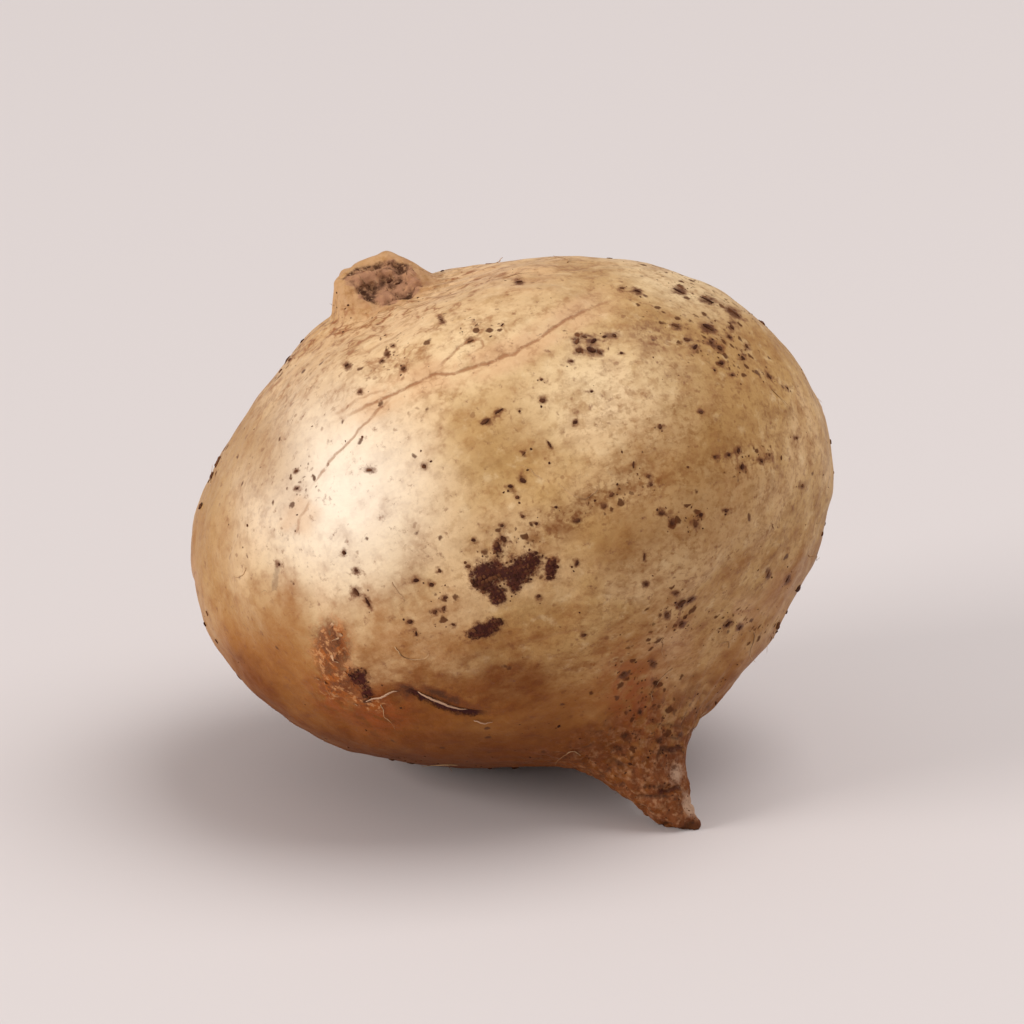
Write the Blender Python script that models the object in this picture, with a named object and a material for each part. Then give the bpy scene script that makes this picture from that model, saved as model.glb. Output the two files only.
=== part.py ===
"""A jicama, the round storage root of the yam bean, as it lies on a table after it was dug up and wiped.

It grew as one piece: a squat globe, the stump of the vine in its crown, and a taproot that tapers from its
underside. It lies on a small flat spot under the globe, with the tip of the taproot touching the table.

The globe is shaped upright, crown up and centre at zero, and is then leaned over into its resting pose.
Metres, +Z up. The origin is on the table, under the middle of the tuber.
"""

import math

import bmesh
import bpy
import numpy as np
from mathutils import Matrix

# The globe, measured from its middle
GIRTH_RADIUS_X = 0.0542
GIRTH_RADIUS_Y = 0.0530
POLE_RADIUS = 0.0421

# The vine's stump: where it stands in the crown, and the break that slopes down across it
STUMP_AT = (-0.0095, -0.0132, 0.0412)
STUMP_RADIUS = 0.0077
STUMP_FOOT = 0.0055
STUMP_HEIGHT = 0.0057
BREAK_HEIGHT = 0.0043
BREAK_SLOPE = 1.05
BREAK_HEADING = math.radians(-62)
BREAK_ROUNDING = 0.0008
HOLLOW_DEPTH = 0.0022
HOLLOW_RADIUS = 0.0050
HOLLOW_SHIFT = 0.0010

# The crown round the stump dips a little, and stands higher on one side of it than on the other
CROWN_DIP = 0.0006
CROWN_TILT = (-0.0040, 0.0030, 0.0)
CROWN_RADIUS = 0.0173

# The taproot, from the underside of the globe to its broken tip, and how far the tip bends aside
ROOT_TIP = (0.0092, -0.0053, -0.0600)
ROOT_RADIUS = 0.0046
ROOT_FLARE = 2.2
ROOT_BEND = (0.0032, 0.0018)
ROOT_FLUTES = 3
ROOT_FLUTE_DEPTH = 0.06

# Slow lumps of the whole surface, and furrows that run up from the root
LUMP_HEIGHT = 0.0008
LUMP_LENGTH = 0.048
LUMP_WAVES = 14
LUMP_SEED = 83
FURROWS = 5
FURROW_DEPTH = 0.0006

# The crease left by a pause in growth: part of a circle round an axis that leans from upright
CREASE_LEAN = math.radians(17)
CREASE_HEADING = math.radians(148)
CREASE_ANGLE = math.radians(78.3)
CREASE_DEPTH = 0.0003
CREASE_HALF_WIDTH = 0.0034
CREASE_MIDDLE = math.radians(-87)
CREASE_REACH = math.radians(75)

# The resting pose: how far the crown leans from upright, and which way, and how deep the flat spot goes
LEAN = math.radians(32.2)
LEAN_HEADING = math.radians(124.4)
FLAT_DEPTH = 0.0006

# The mesh: sides round the globe, rings from crown to tip, how far the rings crowd to both ends, and the
# angle between two faces from which their edge is shaded as sharp
SIDES = 80
RINGS = 72
RING_CROWDING = 0.55
SHARP_ANGLE = math.radians(50)

SKIN_COLOUR = (0.62, 0.44, 0.25, 1.0)
SKIN_ROUGHNESS = 0.5


def clear_scene():
    for old in list(bpy.data.objects):
        bpy.data.objects.remove(old, do_unlink=True)


def unit(vector):
    vector = np.asarray(vector, float)
    return vector / np.linalg.norm(vector)


def fall(distance, start, width):
    """1 up to start, 0 past start + width, and a smooth S between them."""
    t = np.clip((distance - start) / width, 0, 1)
    return 1 - t * t * (3 - 2 * t)


def heading_of(angle, lean):
    """The direction that leans by an angle from straight up, towards a heading."""
    return np.array([math.sin(lean) * math.cos(angle), math.sin(lean) * math.sin(angle), math.cos(lean)])


def directions(sphere):
    """The unit directions of a globe's points, with the rings crowded to both ends, and with the two
    poles pulled over to where the stump and the taproot stand."""
    colatitude = np.arccos(np.clip(sphere[:, 2], -1, 1))
    longitude = np.arctan2(sphere[:, 1], sphere[:, 0])
    colatitude -= RING_CROWDING * np.sin(2 * colatitude) / 2
    rim = np.sin(colatitude)
    out = np.stack([rim * np.cos(longitude), rim * np.sin(longitude), np.cos(colatitude)], axis=1)
    upper = ((1 + out[:, 2]) / 2)[:, None] ** 2
    lower = ((1 - out[:, 2]) / 2)[:, None] ** 2
    up = np.array([0.0, 0.0, 1.0])
    out = out + upper * (unit(STUMP_AT) - up) + lower * (unit(ROOT_TIP) + up)
    return out / np.linalg.norm(out, axis=1, keepdims=True)


def globe(d):
    """The distance from the middle to an ellipsoid, in each direction."""
    return 1 / np.linalg.norm(d / np.array([GIRTH_RADIUS_X, GIRTH_RADIUS_Y, POLE_RADIUS]), axis=1)


def lumps(points):
    """A sum of plane waves in random directions, of about one length, between -2 and 2 or so."""
    draw = np.random.RandomState(LUMP_SEED)
    total = np.zeros(len(points))
    for _ in range(LUMP_WAVES):
        along = unit(draw.normal(size=3))
        length = LUMP_LENGTH * draw.uniform(0.7, 1.4)
        total += np.cos(points @ along * 2 * math.pi / length + draw.uniform(0, 2 * math.pi))
    return total * math.sqrt(2 / LUMP_WAVES)


def crease_height(d, radius, longitude):
    """A shallow groove along a circle of the globe, with a low lip on both sides; it fades at its ends."""
    from_axis = np.arccos(np.clip(d @ heading_of(CREASE_HEADING, CREASE_LEAN), -1, 1))
    across = (from_axis - CREASE_ANGLE) * radius / CREASE_HALF_WIDTH
    along = np.abs((longitude - CREASE_MIDDLE + math.pi) % (2 * math.pi) - math.pi)
    return -CREASE_DEPTH * (1 - across**2) * np.exp(-(across**2) / 2) * fall(along, 0, CREASE_REACH)


def furrow_height(d, longitude):
    """Shallow furrows between the lobes, deepest on the shoulder round the taproot."""
    shoulder = np.sin(np.arccos(np.clip(-d @ unit(ROOT_TIP), -1, 1))) ** 2 * np.clip(-d[:, 2], 0, 1)
    return FURROW_DEPTH * np.cos(FURROWS * longitude) * shoulder


def stump_height(d, radius):
    """The stump of the vine: a short round post, broken off along a slope that rounds over into its flat
    top, with a hollow in the break, on the tilted dip of the crown."""
    stem = unit(STUMP_AT)
    off = radius[:, None] * (d - (d @ stem)[:, None] * stem)
    away = np.linalg.norm(off, axis=1)
    downhill = np.array([math.cos(BREAK_HEADING), math.sin(BREAK_HEADING), 0.0])
    slope = BREAK_HEIGHT - BREAK_SLOPE * (off @ downhill)
    top = -BREAK_ROUNDING * np.logaddexp(-STUMP_HEIGHT / BREAK_ROUNDING, -slope / BREAK_ROUNDING)
    post = np.clip(top, 0, None) * fall(away, STUMP_RADIUS - STUMP_FOOT / 2, STUMP_FOOT)
    hollow = HOLLOW_DEPTH * fall(np.linalg.norm(off - HOLLOW_SHIFT * downhill, axis=1), 0, HOLLOW_RADIUS)
    crown = (off @ np.array(CROWN_TILT) / CROWN_RADIUS - CROWN_DIP) * np.exp(-((away / CROWN_RADIUS) ** 2))
    return np.where(d @ stem > 0, post - hollow + crown, 0)


def root_height(d, radius, longitude):
    """The taproot: length / (1 + (distance / girth) ** flare), which flares into the globe, with flutes."""
    tip = unit(ROOT_TIP)
    away = radius * np.linalg.norm(d - (d @ tip)[:, None] * tip, axis=1)
    length = np.linalg.norm(ROOT_TIP) - globe(tip[None])[0]
    fluted = 1 + ROOT_FLUTE_DEPTH * np.cos(ROOT_FLUTES * longitude) * np.clip(away / ROOT_RADIUS, 0, 1)
    height = length / (1 + (away / (ROOT_RADIUS * fluted)) ** ROOT_FLARE)
    return np.where(d @ tip > 0, height, 0), length


def tuber_points(sphere):
    """The tuber's surface, upright: the globe's distance plus the height of everything on it."""
    d = directions(sphere)
    longitude = np.arctan2(sphere[:, 1], sphere[:, 0])
    radius = globe(d)
    root, length = root_height(d, radius, longitude)
    height = LUMP_HEIGHT * lumps(d * radius[:, None])
    height += crease_height(d, radius, longitude) + furrow_height(d, longitude)
    height += stump_height(d, radius) + root
    points = d * (radius + height)[:, None]
    points[:, :2] += np.array(ROOT_BEND) * (root / length)[:, None] ** 4
    return points


def resting_pose():
    """Turns the upright tuber over to the way it leans on the table."""
    turn = Matrix.Rotation(LEAN_HEADING, 3, "Z")
    return np.array(turn @ Matrix.Rotation(LEAN, 3, "Y") @ turn.transposed())


def rested(points):
    """The points in the resting pose, over the origin, and sunk by the depth of the flat spot."""
    points = points @ resting_pose().T
    low, high = points.min(axis=0), points.max(axis=0)
    middle = (low + high) / 2
    return points - np.array([middle[0], middle[1], low[2] + FLAT_DEPTH])


def skin_material():
    material = bpy.data.materials.new("jicama_skin")
    material.use_nodes = True
    shader = material.node_tree.nodes["Principled BSDF"]
    shader.inputs["Base Color"].default_value = SKIN_COLOUR
    shader.inputs["Roughness"].default_value = SKIN_ROUGHNESS
    shader.inputs["Metallic"].default_value = 0.0
    return material


def jicama(collection):
    """The tuber: a globe primitive whose points are moved to the tuber's surface, cut flat at the table."""
    shape = bmesh.new()
    bmesh.ops.create_uvsphere(shape, u_segments=SIDES, v_segments=RINGS, radius=1.0)
    sphere = np.array([v.co for v in shape.verts])
    for vertex, place in zip(shape.verts, rested(tuber_points(sphere))):
        vertex.co = place
    everything = shape.verts[:] + shape.edges[:] + shape.faces[:]
    bmesh.ops.bisect_plane(
        shape, geom=everything, dist=1e-6, plane_co=(0, 0, 0), plane_no=(0, 0, -1), clear_outer=True
    )
    rim = [edge for edge in shape.edges if edge.is_boundary]
    bmesh.ops.holes_fill(shape, edges=rim, sides=0)
    bmesh.ops.recalc_face_normals(shape, faces=shape.faces[:])
    mesh = bpy.data.meshes.new("jicama")
    shape.to_mesh(mesh)
    shape.free()
    mesh.shade_smooth()
    mesh.set_sharp_from_angle(angle=SHARP_ANGLE)
    mesh.materials.append(skin_material())
    tuber = bpy.data.objects.new("jicama", mesh)
    collection.objects.link(tuber)
    return tuber


clear_scene()
parts = bpy.data.collections.new("jicama_parts")
bpy.context.scene.collection.children.link(parts)
jicama(parts)
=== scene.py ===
"""A jicama lying on a pale table: the tuber's tan, papery skin with its specks, creases and scuffs, torn
fibres in the broken stump of the vine, rootlets round the taproot, and dried soil that clings to it."""

import math

import bpy
import numpy as np
from mathutils import Matrix, Vector


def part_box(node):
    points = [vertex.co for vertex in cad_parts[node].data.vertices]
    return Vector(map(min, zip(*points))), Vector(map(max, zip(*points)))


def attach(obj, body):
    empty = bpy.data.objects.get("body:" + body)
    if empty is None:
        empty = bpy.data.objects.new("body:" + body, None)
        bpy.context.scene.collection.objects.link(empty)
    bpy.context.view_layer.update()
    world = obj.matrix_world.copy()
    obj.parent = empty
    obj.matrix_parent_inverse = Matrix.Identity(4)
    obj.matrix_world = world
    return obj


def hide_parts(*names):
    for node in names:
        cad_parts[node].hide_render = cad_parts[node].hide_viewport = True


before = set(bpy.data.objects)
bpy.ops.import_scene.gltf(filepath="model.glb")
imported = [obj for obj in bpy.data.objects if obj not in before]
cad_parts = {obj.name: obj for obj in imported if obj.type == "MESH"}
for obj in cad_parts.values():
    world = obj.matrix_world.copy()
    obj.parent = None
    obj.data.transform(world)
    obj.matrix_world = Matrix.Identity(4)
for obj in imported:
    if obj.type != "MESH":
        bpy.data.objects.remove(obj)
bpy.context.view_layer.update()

# The tuber is one swollen root: a squat globe with the stump of the vine in its crown and a taproot that
# tapers from its underside. It lies leaned over, on a small flat spot and on the broken tip of the taproot.
GIRTH_RADIUS_X = 0.0542
GIRTH_RADIUS_Y = 0.0530
POLE_RADIUS = 0.0421

STUMP_AT = (-0.0095, -0.0132, 0.0412)
STUMP_RADIUS = 0.0077
STUMP_FOOT = 0.0055
STUMP_HEIGHT = 0.0057
BREAK_HEIGHT = 0.0043
BREAK_SLOPE = 1.05
BREAK_HEADING = math.radians(-62)
BREAK_ROUNDING = 0.0008
HOLLOW_DEPTH = 0.0022
HOLLOW_RADIUS = 0.0050
HOLLOW_SHIFT = 0.0010
CROWN_DIP = 0.0006
CROWN_TILT = (-0.0040, 0.0030, 0.0)
CROWN_RADIUS = 0.0173

ROOT_TIP = (0.0092, -0.0053, -0.0600)
ROOT_RADIUS = 0.0046
ROOT_FLARE = 2.2
ROOT_BEND = (0.0032, 0.0018)
ROOT_FLUTES = 3
ROOT_FLUTE_DEPTH = 0.06

LUMP_HEIGHT = 0.0008
LUMP_LENGTH = 0.048
LUMP_WAVES = 14
LUMP_SEED = 83
FURROWS = 5
FURROW_DEPTH = 0.0006

CREASE_LEAN = math.radians(17)
CREASE_HEADING = math.radians(148)
CREASE_ANGLE = math.radians(78.3)
CREASE_DEPTH = 0.0003
CREASE_HALF_WIDTH = 0.0034
CREASE_MIDDLE = math.radians(-87)
CREASE_REACH = math.radians(75)

LEAN = math.radians(32.2)
LEAN_HEADING = math.radians(124.4)
FLAT_DEPTH = 0.0006

SKIN_SIDES = 396
SKIN_RINGS = 248
STUMP_FINER = 2.2
ROOT_FINER = 1.0

# How high the photograph's camera looks down from, and how far off the camera stands
VIEW_ELEVATION = math.radians(19)
CAMERA_DISTANCE = 2.87


def unit(vectors):
    """Vectors divided by their lengths."""
    vectors = np.asarray(vectors, float)
    return vectors / np.linalg.norm(vectors, axis=-1, keepdims=True)


def fall(distance, start, width):
    """1 up to start, 0 past start + width, and a smooth S between them."""
    t = np.clip((distance - start) / width, 0, 1)
    return 1 - t * t * (3 - 2 * t)


def leaning(heading, lean):
    """The direction that leans by an angle from straight up, towards a heading."""
    return np.array([math.sin(lean) * math.cos(heading), math.sin(lean) * math.sin(heading), math.cos(lean)])


def wave_sum(points, length, seed, count=24):
    """A sum of plane waves in random directions, each of about one length, mostly between -2 and 2."""
    draw = np.random.RandomState(seed)
    total = np.zeros(len(points))
    for _ in range(count):
        along = unit(draw.normal(size=3))
        wave = length * draw.uniform(0.7, 1.4)
        total += np.cos(points @ along * 2 * math.pi / wave + draw.uniform(0, 2 * math.pi))
    return total * math.sqrt(2 / count)


def directions(turn, down):
    """Unit directions for a turn round the upright axis and an angle down from it, with the upper pole
    pulled over to the stump and the lower pole to the taproot."""
    out = np.stack([np.sin(down) * np.cos(turn), np.sin(down) * np.sin(turn), np.cos(down)], axis=1)
    upper = ((1 + out[:, 2]) / 2)[:, None] ** 2
    lower = ((1 - out[:, 2]) / 2)[:, None] ** 2
    up = np.array([0.0, 0.0, 1.0])
    return unit(out + upper * (unit(STUMP_AT) - up) + lower * (unit(ROOT_TIP) + up))


def globe(d):
    """The distance from the middle to an ellipsoid, in each direction."""
    return 1 / np.linalg.norm(d / np.array([GIRTH_RADIUS_X, GIRTH_RADIUS_Y, POLE_RADIUS]), axis=1)


def off_axis(d, radius, axis):
    """How far each point of the globe is from a line through its middle, as a vector."""
    return radius[:, None] * (d - (d @ axis)[:, None] * axis)


STEM = unit(STUMP_AT)
TIP = unit(ROOT_TIP)
DOWNHILL = np.array([math.cos(BREAK_HEADING), math.sin(BREAK_HEADING), 0.0])


def grown(turn, down):
    """The upright tuber: along each direction, the globe's radius, plus slow lumps, a crease, furrows, the
    post of the stump with its sloping, hollowed break, and the taproot, whose height is
    length / (1 + (distance / girth) ** flare)."""
    d = directions(turn, down)
    radius = globe(d)
    height = LUMP_HEIGHT * wave_sum(d * radius[:, None], LUMP_LENGTH, LUMP_SEED, LUMP_WAVES)

    from_axis = np.arccos(np.clip(d @ leaning(CREASE_HEADING, CREASE_LEAN), -1, 1))
    across = (from_axis - CREASE_ANGLE) * radius / CREASE_HALF_WIDTH
    along = np.abs((turn - CREASE_MIDDLE + math.pi) % (2 * math.pi) - math.pi)
    height -= CREASE_DEPTH * (1 - across**2) * np.exp(-(across**2) / 2) * fall(along, 0, CREASE_REACH)

    shoulder = (1 - np.clip(-d @ TIP, -1, 1) ** 2) * np.clip(-d[:, 2], 0, 1)
    height += FURROW_DEPTH * np.cos(FURROWS * turn) * shoulder

    off = off_axis(d, radius, STEM)
    away = np.linalg.norm(off, axis=1)
    slope = BREAK_HEIGHT - BREAK_SLOPE * (off @ DOWNHILL)
    top = -BREAK_ROUNDING * np.logaddexp(-STUMP_HEIGHT / BREAK_ROUNDING, -slope / BREAK_ROUNDING)
    post = np.clip(top, 0, None) * fall(away, STUMP_RADIUS - STUMP_FOOT / 2, STUMP_FOOT)
    hollow = HOLLOW_DEPTH * fall(np.linalg.norm(off - HOLLOW_SHIFT * DOWNHILL, axis=1), 0, HOLLOW_RADIUS)
    crown = (off @ np.array(CROWN_TILT) / CROWN_RADIUS - CROWN_DIP) * np.exp(-((away / CROWN_RADIUS) ** 2))
    height += np.where(d @ STEM > 0, post - hollow + crown, 0)

    away = np.linalg.norm(off_axis(d, radius, TIP), axis=1)
    length = np.linalg.norm(ROOT_TIP) - globe(TIP[None])[0]
    flutes = ROOT_FLUTE_DEPTH * np.cos(ROOT_FLUTES * turn) * np.clip(away / ROOT_RADIUS, 0, 1)
    girth = ROOT_RADIUS * (1 + flutes)
    root = np.where(d @ TIP > 0, length / (1 + (away / girth) ** ROOT_FLARE), 0)

    points = d * (radius + height + root)[:, None]
    points[:, :2] += np.array(ROOT_BEND) * (root / length)[:, None] ** 4
    return points, root / length


def ring_places():
    """The angles down of the rings: even steps along the tuber's outline, finer on stump and root."""
    down = np.linspace(0, math.pi, 3000)
    total = np.zeros(len(down))
    for turn in np.arange(6) * math.pi / 3:
        points, root = grown(np.full(len(down), turn), down)
        step = np.linalg.norm(np.diff(points, axis=0), axis=1)
        finer = STUMP_FINER * fall(down, 0.20, 0.12) + ROOT_FINER * np.clip(root * 8, 0, 1)
        total[1:] += np.cumsum(step * (1 + finer[1:]))
    return np.interp(np.linspace(0, total[-1], SKIN_RINGS + 1), total, down)


def row_normals(rows):
    """Outward normals of a closed grid (rings, sides, 3), from the cross product of its two directions. The
    end rows, which are drawn together into one point, take the mean of their neighbours."""
    round_it = np.roll(rows, -1, axis=1) - np.roll(rows, 1, axis=1)
    normals = np.cross(np.gradient(rows, axis=0), round_it)
    normals[0] = normals[1].mean(axis=0)
    normals[-1] = normals[-2].mean(axis=0)
    return unit(normals)


def rolled_mesh(name, grids):
    """One mesh from any number of closed grids (count, rings, sides, 3): quads between the rings, and
    triangles to one point at each end."""
    count, rings, sides = grids.shape[:3]
    ends = grids[:, [0, -1]].mean(axis=2)
    between = grids[:, 1:-1].reshape(count, -1, 3)
    points = np.concatenate([between, ends], axis=1)
    first = np.arange(rings - 3)[:, None] * sides + np.arange(sides)
    second = np.arange(rings - 3)[:, None] * sides + (np.arange(sides) + 1) % sides
    quads = np.stack([first, first + sides, second + sides, second], axis=-1).reshape(-1, 4)
    start, last = np.arange(sides), (rings - 3) * sides + np.arange(sides)
    top = np.stack([np.full(sides, between.shape[1]), start, np.roll(start, -1)], axis=1)
    tail = np.stack([np.full(sides, between.shape[1] + 1), np.roll(last, -1), last], axis=1)
    shift = np.arange(count)[:, None, None] * points.shape[1]
    quads = (quads + shift).reshape(-1, 4)
    triangles = (np.concatenate([top, tail]) + shift).reshape(-1, 3)

    mesh = bpy.data.meshes.new(name)
    mesh.vertices.add(count * points.shape[1])
    mesh.vertices.foreach_set("co", points.astype(np.float32).ravel())
    mesh.loops.add(quads.size + triangles.size)
    corners = np.concatenate([quads.ravel(), triangles.ravel()])
    mesh.loops.foreach_set("vertex_index", corners.astype(np.int32))
    mesh.polygons.add(len(quads) + len(triangles))
    starts = np.concatenate([np.arange(len(quads)) * 4, quads.size + np.arange(len(triangles)) * 3])
    mesh.polygons.foreach_set("loop_start", starts.astype(np.int32))
    mesh.update(calc_edges=True)
    mesh.validate()
    mesh.shade_smooth()
    return mesh


def add_piece(name, mesh, material):
    """An object for a finished mesh, which rides with the tuber."""
    mesh.materials.append(material)
    piece = bpy.data.objects.new(name, mesh)
    bpy.context.scene.collection.objects.link(piece)
    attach(piece, "root")
    return piece


# The plain form is worked out first, laid in its pose and centred over the CAD node that it replaces.
turn_grid, down_grid = np.meshgrid(np.arange(SKIN_SIDES) * 2 * math.pi / SKIN_SIDES, ring_places())
turn_all, down_all = turn_grid.ravel(), down_grid.ravel()
plain, root_share = grown(turn_all, down_all)
d_all = directions(turn_all, down_all)
radius_all = globe(d_all)
turned = Matrix.Rotation(LEAN_HEADING, 3, "Z")
POSE = turned @ Matrix.Rotation(LEAN, 3, "Y") @ turned.transposed()
node_low, node_high = (np.array(corner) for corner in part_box("jicama"))
laid = plain @ np.array(POSE).T
middle = (node_low + node_high) / 2 - (laid.min(axis=0) + laid.max(axis=0)) / 2
middle[2] = node_low[2] - FLAT_DEPTH - laid[:, 2].min()
laid += middle

RIGHT = np.array([1.0, 0.0, 0.0])
UPWARD = np.array([0.0, math.sin(VIEW_ELEVATION), math.cos(VIEW_ELEVATION)])
TOWARD = np.array([0.0, -math.cos(VIEW_ELEVATION), math.sin(VIEW_ELEVATION)])
seen = 1000 * (laid - (node_low + node_high) / 2) @ np.stack([RIGHT, UPWARD, TOWARD], axis=1)
seen[:, :2] *= 1 + seen[:, 2:] / CAMERA_DISTANCE / 1000


def marked(right, up, half_width, half_height, tilt=0.0):
    """How much each point lies in a soft-edged patch whose middle, half sizes and tilt are given as seen
    from the front, in millimetres right and up of the tuber's middle and in degrees: 1 in the middle, a
    half at its edge, 0 well outside."""
    x, y, tilt = seen[:, 0] - right, seen[:, 1] - up, math.radians(tilt)
    long_way = (x * math.cos(tilt) + y * math.sin(tilt)) / half_width
    short_way = (y * math.cos(tilt) - x * math.sin(tilt)) / half_height
    return np.where(seen[:, 2] > 0, fall(np.hypot(long_way, short_way), 0, 2), 0)


def all_marked(patches):
    """The strongest mark of several patches at each point."""
    return np.max([marked(*patch) for patch in patches], axis=0)


# Soil in clods on the front, where each is seen: right, up, half width, half height, tilt
CLODS = (
    (-4.2, -11.0, 2.6, 2.5),
    (-1.2, -10.4, 2.4, 1.7),
    (1.5, -9.6, 2.7, 2.1, 30),
    (3.5, -8.2, 1.6, 1.1, 30),
    (-2.4, -13.6, 1.2, 1.7),
    (0.7, -12.0, 1.0, 2.0, -25),
    (-2.4, -6.4, 0.7, 1.2),
    (6.6, -9.4, 0.9, 1.6),
    (-4.9, -19.8, 2.5, 1.3, 14),
    (-2.9, -18.6, 1.2, 0.8, 20),
    (-25.7, -27.9, 1.5, 1.5),
    (-24.4, -30.0, 0.9, 1.3, 30),
)
# Specks as seen from the front, in millimetres and degrees: right, up, half length, half width, tilt
SPECKS = (
    (-20.5, 38.9, .90, .45, 50), (1.2, 38.9, .75, .45, 10), (-21.0, 26.7, .50, .40, 60),
    (-20.1, 28.0, .40, .30, 0), (-21.9, 25.5, .35, .30, 0), (-27.6, 24.5, .50, .50, 0),
    (-18.3, 24.2, .50, .45, 0), (-25.3, 19.9, .40, .45, 0), (-11.9, 32.4, .70, .30, -60),
    (-1.6, 31.5, .60, .30, 80), (-7.1, 28.8, .90, .28, 20), (4.9, 22.2, .35, .35, 0),
    (5.1, 18.8, .65, .60, 0), (-4.4, 15.2, 1.2, .60, 30), (-2.2, 16.9, 1.1, .30, 35),
    (10.6, 15.1, .55, .50, 0), (1.3, 17.0, .35, .35, 0), (10.9, 28.9, .95, .60, 75),
    (11.3, 27.3, .80, .65, 0), (13.7, 28.9, .90, .60, 50), (13.3, 27.5, 1.1, .75, -30),
    (14.8, 27.0, .80, .45, -40), (12.2, 29.6, .60, .35, 0), (15.7, 29.5, .60, .45, 40),
    (17.2, 29.7, .60, .50, 0), (9.9, 25.4, .40, .35, 0), (18.3, 26.7, .40, .35, 0),
    (13.3, 20.2, .35, .35, 0), (18.5, 37.5, .60, .35, -30), (21.0, 36.9, .90, .45, -20),
    (28.1, 37.4, 1.4, .40, -18), (32.9, 35.6, 1.6, .45, -25), (37.0, 33.4, 1.9, .50, -33),
    (27.6, 31.3, .90, .50, -10), (33.0, 31.0, 1.6, .80, -20), (37.1, 31.3, .90, .55, 85),
    (36.7, 29.7, .60, .50, 0), (29.4, 29.0, .80, .50, 0), (30.8, 27.6, 1.1, .50, 50),
    (34.9, 27.5, .75, .70, 0), (33.4, 28.5, .50, .50, 0), (39.7, 28.1, .70, .55, 60),
    (38.9, 26.1, .65, .65, 0), (35.2, 25.1, .60, .55, 0), (34.1, 23.8, .40, .40, 0),
    (37.2, 23.2, .40, .35, 0), (43.4, 22.9, .90, .30, -45), (46.5, 20.8, .50, .35, 0),
    (31.7, 16.7, .50, .40, 0), (24.9, 14.2, .60, .50, 80), (34.2, 9.2, .40, .35, 0),
    (36.5, 9.5, .45, .40, 0), (38.1, 10.4, .60, .50, 0), (38.7, 7.6, .80, .60, 20),
    (41.7, 8.6, .70, .45, -20), (43.1, 9.5, .50, .40, 0), (48.1, 12.4, .45, .40, 0),
    (48.7, 4.5, .50, .45, 0), (23.1, 6.1, .50, .40, 0), (23.4, 4.7, .45, .40, 0),
    (6.4, 11.4, .80, .35, -60), (1.7, 5.4, .85, .60, -40), (-0.3, 4.2, .60, .45, 0),
    (0.9, 2.6, .45, .45, 0), (2.0, 9.9, .60, .30, 60), (7.4, 0.7, .40, .35, 0), (1.8, -0.6, .45, .40, 0),
    (4.2, -2.0, .40, .40, 0), (10.9, -1.4, .75, .55, 0), (15.5, 1.0, .60, .55, 0),
    (16.7, 3.0, .60, .45, 40), (20.5, 7.9, .90, .28, 85), (-1.6, -2.3, .45, .40, 0),
    (-6.4, -4.8, .50, .45, 0), (-1.3, -4.6, .90, .55, -50), (-2.6, -5.4, .80, .50, 80),
    (-28.3, -6.9, .65, .55, 0), (-26.4, -9.9, .60, .40, -20), (-26.2, -13.5, 1.1, .75, -60),
    (-24.2, -15.2, 1.2, .40, -65), (-16.3, -11.5, .80, .55, 0), (-13.6, -12.3, .55, .50, 0),
    (-12.3, -9.9, .55, .40, 90), (-17.2, -18.3, .65, .55, 0), (-12.9, -16.9, .70, .50, 60),
    (-11.5, -16.3, .60, .50, 90), (-11.2, -14.5, .60, .40, 20), (-14.9, 7.7, .60, .50, 0),
    (-23.9, 7.0, .90, .28, 0), (-36.6, 7.0, .50, .35, 0), (-36.1, 3.9, .55, .35, 0),
    (-39.5, -8.8, .45, .40, 0), (25.1, -0.1, .60, .50, 0), (27.0, -1.7, .95, .65, 85),
    (30.9, -1.9, .90, .55, -60), (31.8, -0.5, .50, .50, 0), (36.1, 0.2, .80, .35, 0),
    (22.3, -7.6, 1.0, .28, 88), (22.5, -12.2, .50, .45, 0), (28.6, -15.5, 1.1, .80, 40),
    (30.1, -14.9, 1.0, .45, 20), (27.7, -13.8, .70, .35, 0), (26.1, -17.4, .60, .50, 90),
    (28.4, -18.8, .70, .45, 0), (36.3, -18.8, .90, .50, 45), (38.3, -19.4, .60, .45, 0),
    (42.8, -10.3, .90, .28, 85), (46.2, -11.4, .90, .28, 70), (4.5, -14.2, .50, .45, 0),
    (10.9, -8.5, .60, .40, 80), (-7.4, -9.0, .70, .40, 0), (12.0, -20.5, .50, .45, 0),
    (6.9, -8.4, .80, .55, 60), (6.2, -10.9, .70, .60, 0), (-16.1, -20.2, .70, .30, 90),
    (-9.9, -18.9, .45, .40, 0), (23.8, -25.7, .70, .50, 90), (24.3, -28.9, .60, .60, 0),
    (18.7, -27.4, .65, .60, 0), (21.5, -33.6, .45, .45, 0), (24.7, -38.3, .80, .55, 0),
    (28.2, -37.4, .60, .50, 0), (19.0, -37.8, .60, .40, 0), (18.0, -40.0, .75, .55, 0),
)
# Flecks crowd together in these places on the front, and in more at random all round
FLECK_CLUSTERS = (
    (13.2, 28.0, 3.4, 1.6, -12),
    (28.0, 32.5, 5.0, 2.2, -17),
    (34.0, 28.5, 4.6, 3.4, -12),
    (38.5, 25.5, 2.4, 2.6),
    (-20.8, 27.0, 1.6, 2.6),
    (-4.0, 31.0, 3.0, 1.8),
    (29.5, -1.2, 3.5, 1.6),
    (28.4, -16.8, 2.6, 3.0, 29),
    (-35.8, 5.4, 1.6, 2.2),
    (39.5, 9.0, 4.2, 2.2),
    (-12.2, -15.5, 2.4, 3.0),
    (21.5, -31.0, 5.0, 8.0),
    (37.0, -19.0, 4.4, 2.4),
    (31.0, 37.0, 9.0, 1.4, -28),
    (0.5, -6.0, 4.0, 3.0),
    (18.0, 3.0, 4.5, 2.0, 30),
)
FLECK_CLUSTERS_ELSEWHERE = 60
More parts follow.
